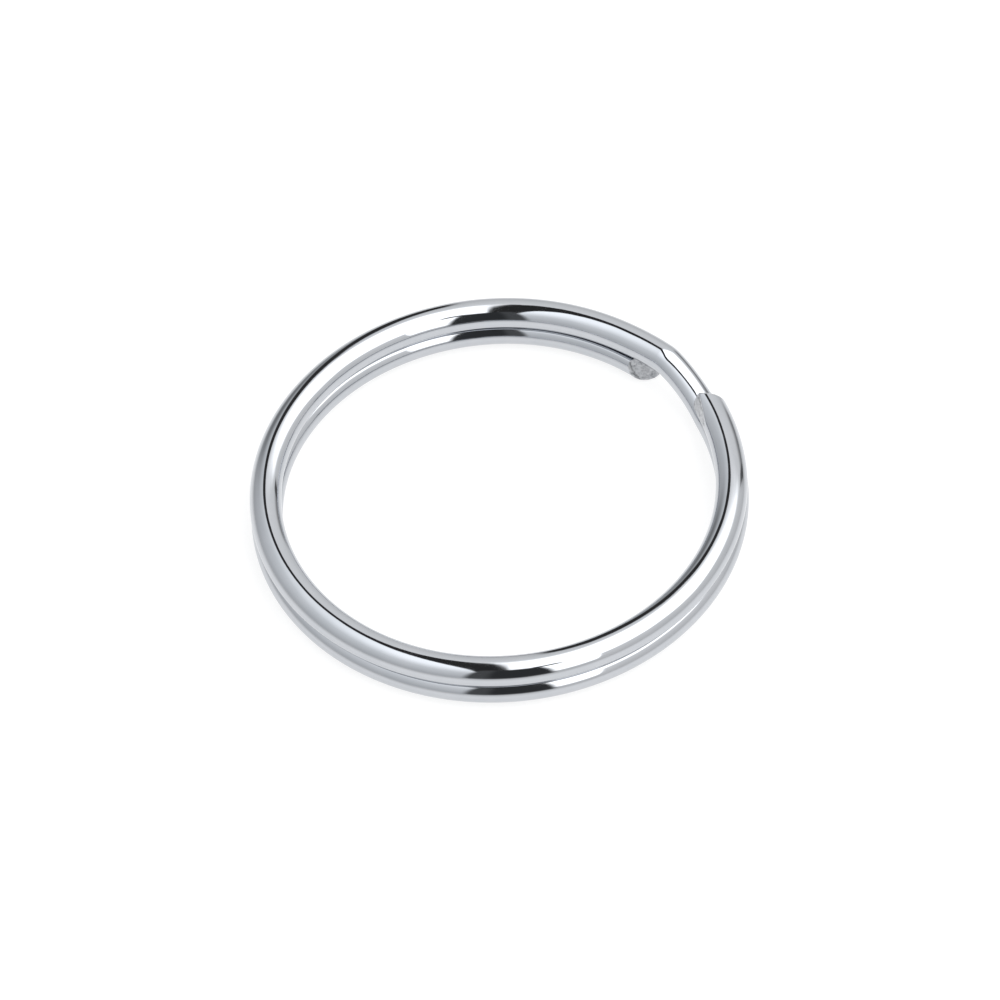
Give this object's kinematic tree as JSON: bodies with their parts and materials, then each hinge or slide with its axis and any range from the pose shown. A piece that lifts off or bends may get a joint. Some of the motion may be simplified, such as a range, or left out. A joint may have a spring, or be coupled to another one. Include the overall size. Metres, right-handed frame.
{
  "type": "split key ring",
  "caption": "Nickel-plated split key ring: one springy wire wound in two stacked turns, whose free ends open so a key can be slid on.",
  "frame": {"origin": "on the ring's axis, in the plane of the surface it lies on: the bottom centre of its bounding box", "axes": "+Z is the ring's axis, from the lower turn to the upper one; seen from above, the free end of the upper turn is 22 degrees anticlockwise of +X and that of the lower turn 46.5 degrees, so the split is at the back right when +Y points away"},
  "size_m": [0.03, 0.03, 0.0032],
  "materials": {
    "plated_wire": "bright mirror plating over spring steel, with fine handling scratches and rougher sheared ends"
  },
  "bodies": {
    "ring_core": {"upper_turn_back_1": "plated_wire", "upper_turn_back_2": "plated_wire", "upper_turn_back_3": "plated_wire", "crossover_step": "plated_wire", "lower_turn_front_1": "plated_wire", "lower_turn_front_2": "plated_wire", "lower_turn_front_3": "plated_wire"},
    "upper_turn_flex_1": {"upper_turn_flex_1": "plated_wire"},
    "upper_turn_flex_2": {"upper_turn_flex_2": "plated_wire"},
    "upper_turn_flex_3": {"upper_turn_flex_3": "plated_wire"},
    "upper_turn_flex_4": {"upper_turn_flex_4": "plated_wire"},
    "upper_turn_flex_5": {"upper_turn_flex_5": "plated_wire"},
    "upper_turn_flex_6": {"upper_turn_flex_6": "plated_wire"},
    "upper_turn_flex_7": {"upper_turn_flex_7": "plated_wire"},
    "upper_turn_free_end": {"upper_turn_free_end": "plated_wire"},
    "lower_turn_flex_1": {"lower_turn_flex_1": "plated_wire"},
    "lower_turn_flex_2": {"lower_turn_flex_2": "plated_wire"},
    "lower_turn_flex_3": {"lower_turn_flex_3": "plated_wire"},
    "lower_turn_flex_4": {"lower_turn_flex_4": "plated_wire"},
    "lower_turn_flex_5": {"lower_turn_flex_5": "plated_wire"},
    "lower_turn_flex_6": {"lower_turn_flex_6": "plated_wire"},
    "lower_turn_flex_7": {"lower_turn_flex_7": "plated_wire"},
    "lower_turn_free_end": {"lower_turn_free_end": "plated_wire"}
  },
  "joints": [
    {"name": "upper_end_spring_open", "type": "hinge", "parent": "ring_core", "child": "upper_turn_flex_1", "pos_m": [-0.01302, -0.00526, 0.00237], "axis": [0.3746, -0.9272, 0], "range_deg": [0, 1.13], "stiffness_Nm_per_rad": 60},
    {"name": "upper_end_flex_2", "type": "hinge", "parent": "upper_turn_flex_1", "child": "upper_turn_flex_2", "pos_m": [-0.01001, -0.00984, 0.00237], "axis": [0.5483, -0.8363, 0], "range_deg": [0, 1.11], "stiffness_Nm_per_rad": 0.005},
    {"name": "upper_end_flex_3", "type": "hinge", "parent": "upper_turn_flex_2", "child": "upper_turn_flex_3", "pos_m": [-0.00549, -0.01292, 0.00237], "axis": [0.7009, -0.7133, 0], "range_deg": [0, 1.05], "stiffness_Nm_per_rad": 0.005},
    {"name": "upper_end_flex_4", "type": "hinge", "parent": "upper_turn_flex_3", "child": "upper_turn_flex_4", "pos_m": [-0.00012, -0.01404, 0.00237], "axis": [0.8266, -0.5628, 0], "range_deg": [0, 0.943], "stiffness_Nm_per_rad": 0.005},
    {"name": "upper_end_flex_5", "type": "hinge", "parent": "upper_turn_flex_4", "child": "upper_turn_flex_5", "pos_m": [0.00526, -0.01302, 0.00237], "axis": [0.9205, -0.3907, 0], "range_deg": [0, 0.802], "stiffness_Nm_per_rad": 0.005},
    {"name": "upper_end_flex_6", "type": "hinge", "parent": "upper_turn_flex_5", "child": "upper_turn_flex_6", "pos_m": [0.00984, -0.01001, 0.00237], "axis": [0.979, -0.2036, 0], "range_deg": [0, 0.631], "stiffness_Nm_per_rad": 0.005},
    {"name": "upper_end_flex_7", "type": "hinge", "parent": "upper_turn_flex_6", "child": "upper_turn_flex_7", "pos_m": [0.01292, -0.00549, 0.00237], "axis": [1, -0.0087, 0], "range_deg": [0, 0.434], "stiffness_Nm_per_rad": 0.005},
    {"name": "upper_end_flex_8", "type": "hinge", "parent": "upper_turn_flex_7", "child": "upper_turn_free_end", "pos_m": [0.01404, -0.00012, 0.00237], "axis": [0.9825, 0.1865, 0], "range_deg": [0, 0.222], "stiffness_Nm_per_rad": 0.005},
    {"name": "lower_end_spring_open", "type": "hinge", "parent": "ring_core", "child": "lower_turn_flex_1", "pos_m": [-0.00966, -0.01018, 0.00086], "axis": [-0.7254, 0.6884, 0], "range_deg": [0, 1.13], "stiffness_Nm_per_rad": 60},
    {"name": "lower_end_flex_2", "type": "hinge", "parent": "lower_turn_flex_1", "child": "lower_turn_flex_2", "pos_m": [-0.01283, -0.00571, 0.00086], "axis": [-0.5771, 0.8166, 0], "range_deg": [0, 1.11], "stiffness_Nm_per_rad": 0.005},
    {"name": "lower_end_flex_3", "type": "hinge", "parent": "lower_turn_flex_2", "child": "lower_turn_flex_3", "pos_m": [-0.01404, -0.00037, 0.00086], "axis": [-0.4067, 0.9135, 0], "range_deg": [0, 1.05], "stiffness_Nm_per_rad": 0.005},
    {"name": "lower_end_flex_4", "type": "hinge", "parent": "lower_turn_flex_3", "child": "lower_turn_flex_4", "pos_m": [-0.01311, 0.00503, 0.00086], "axis": [-0.2207, 0.9753, 0], "range_deg": [0, 0.943], "stiffness_Nm_per_rad": 0.005},
    {"name": "lower_end_flex_5", "type": "hinge", "parent": "lower_turn_flex_4", "child": "lower_turn_flex_5", "pos_m": [-0.01018, 0.00966, 0.00086], "axis": [-0.0262, 0.9997, 0], "range_deg": [0, 0.802], "stiffness_Nm_per_rad": 0.005},
    {"name": "lower_end_flex_6", "type": "hinge", "parent": "lower_turn_flex_5", "child": "lower_turn_flex_6", "pos_m": [-0.00571, 0.01283, 0.00086], "axis": [0.1693, 0.9856, 0], "range_deg": [0, 0.631], "stiffness_Nm_per_rad": 0.005},
    {"name": "lower_end_flex_7", "type": "hinge", "parent": "lower_turn_flex_6", "child": "lower_turn_flex_7", "pos_m": [-0.00037, 0.01404, 0.00086], "axis": [0.3584, 0.9336, 0], "range_deg": [0, 0.434], "stiffness_Nm_per_rad": 0.005},
    {"name": "lower_end_flex_8", "type": "hinge", "parent": "lower_turn_flex_7", "child": "lower_turn_free_end", "pos_m": [0.00503, 0.01311, 0.00086], "axis": [0.5336, 0.8457, 0], "range_deg": [0, 0.222], "stiffness_Nm_per_rad": 0.005}
  ],
  "couplings": [
    {"joint": "upper_end_flex_2", "follows": "upper_end_spring_open", "ratio": 0.98079},
    {"joint": "upper_end_flex_3", "follows": "upper_end_spring_open", "ratio": 0.92388},
    {"joint": "upper_end_flex_4", "follows": "upper_end_spring_open", "ratio": 0.83147},
    {"joint": "upper_end_flex_5", "follows": "upper_end_spring_open", "ratio": 0.70711},
    {"joint": "upper_end_flex_6", "follows": "upper_end_spring_open", "ratio": 0.55557},
    {"joint": "upper_end_flex_7", "follows": "upper_end_spring_open", "ratio": 0.38268},
    {"joint": "upper_end_flex_8", "follows": "upper_end_spring_open", "ratio": 0.19509},
    {"joint": "lower_end_flex_2", "follows": "lower_end_spring_open", "ratio": 0.98079},
    {"joint": "lower_end_flex_3", "follows": "lower_end_spring_open", "ratio": 0.92388},
    {"joint": "lower_end_flex_4", "follows": "lower_end_spring_open", "ratio": 0.83147},
    {"joint": "lower_end_flex_5", "follows": "lower_end_spring_open", "ratio": 0.70711},
    {"joint": "lower_end_flex_6", "follows": "lower_end_spring_open", "ratio": 0.55557},
    {"joint": "lower_end_flex_7", "follows": "lower_end_spring_open", "ratio": 0.38268},
    {"joint": "lower_end_flex_8", "follows": "lower_end_spring_open", "ratio": 0.19509}
  ]
}
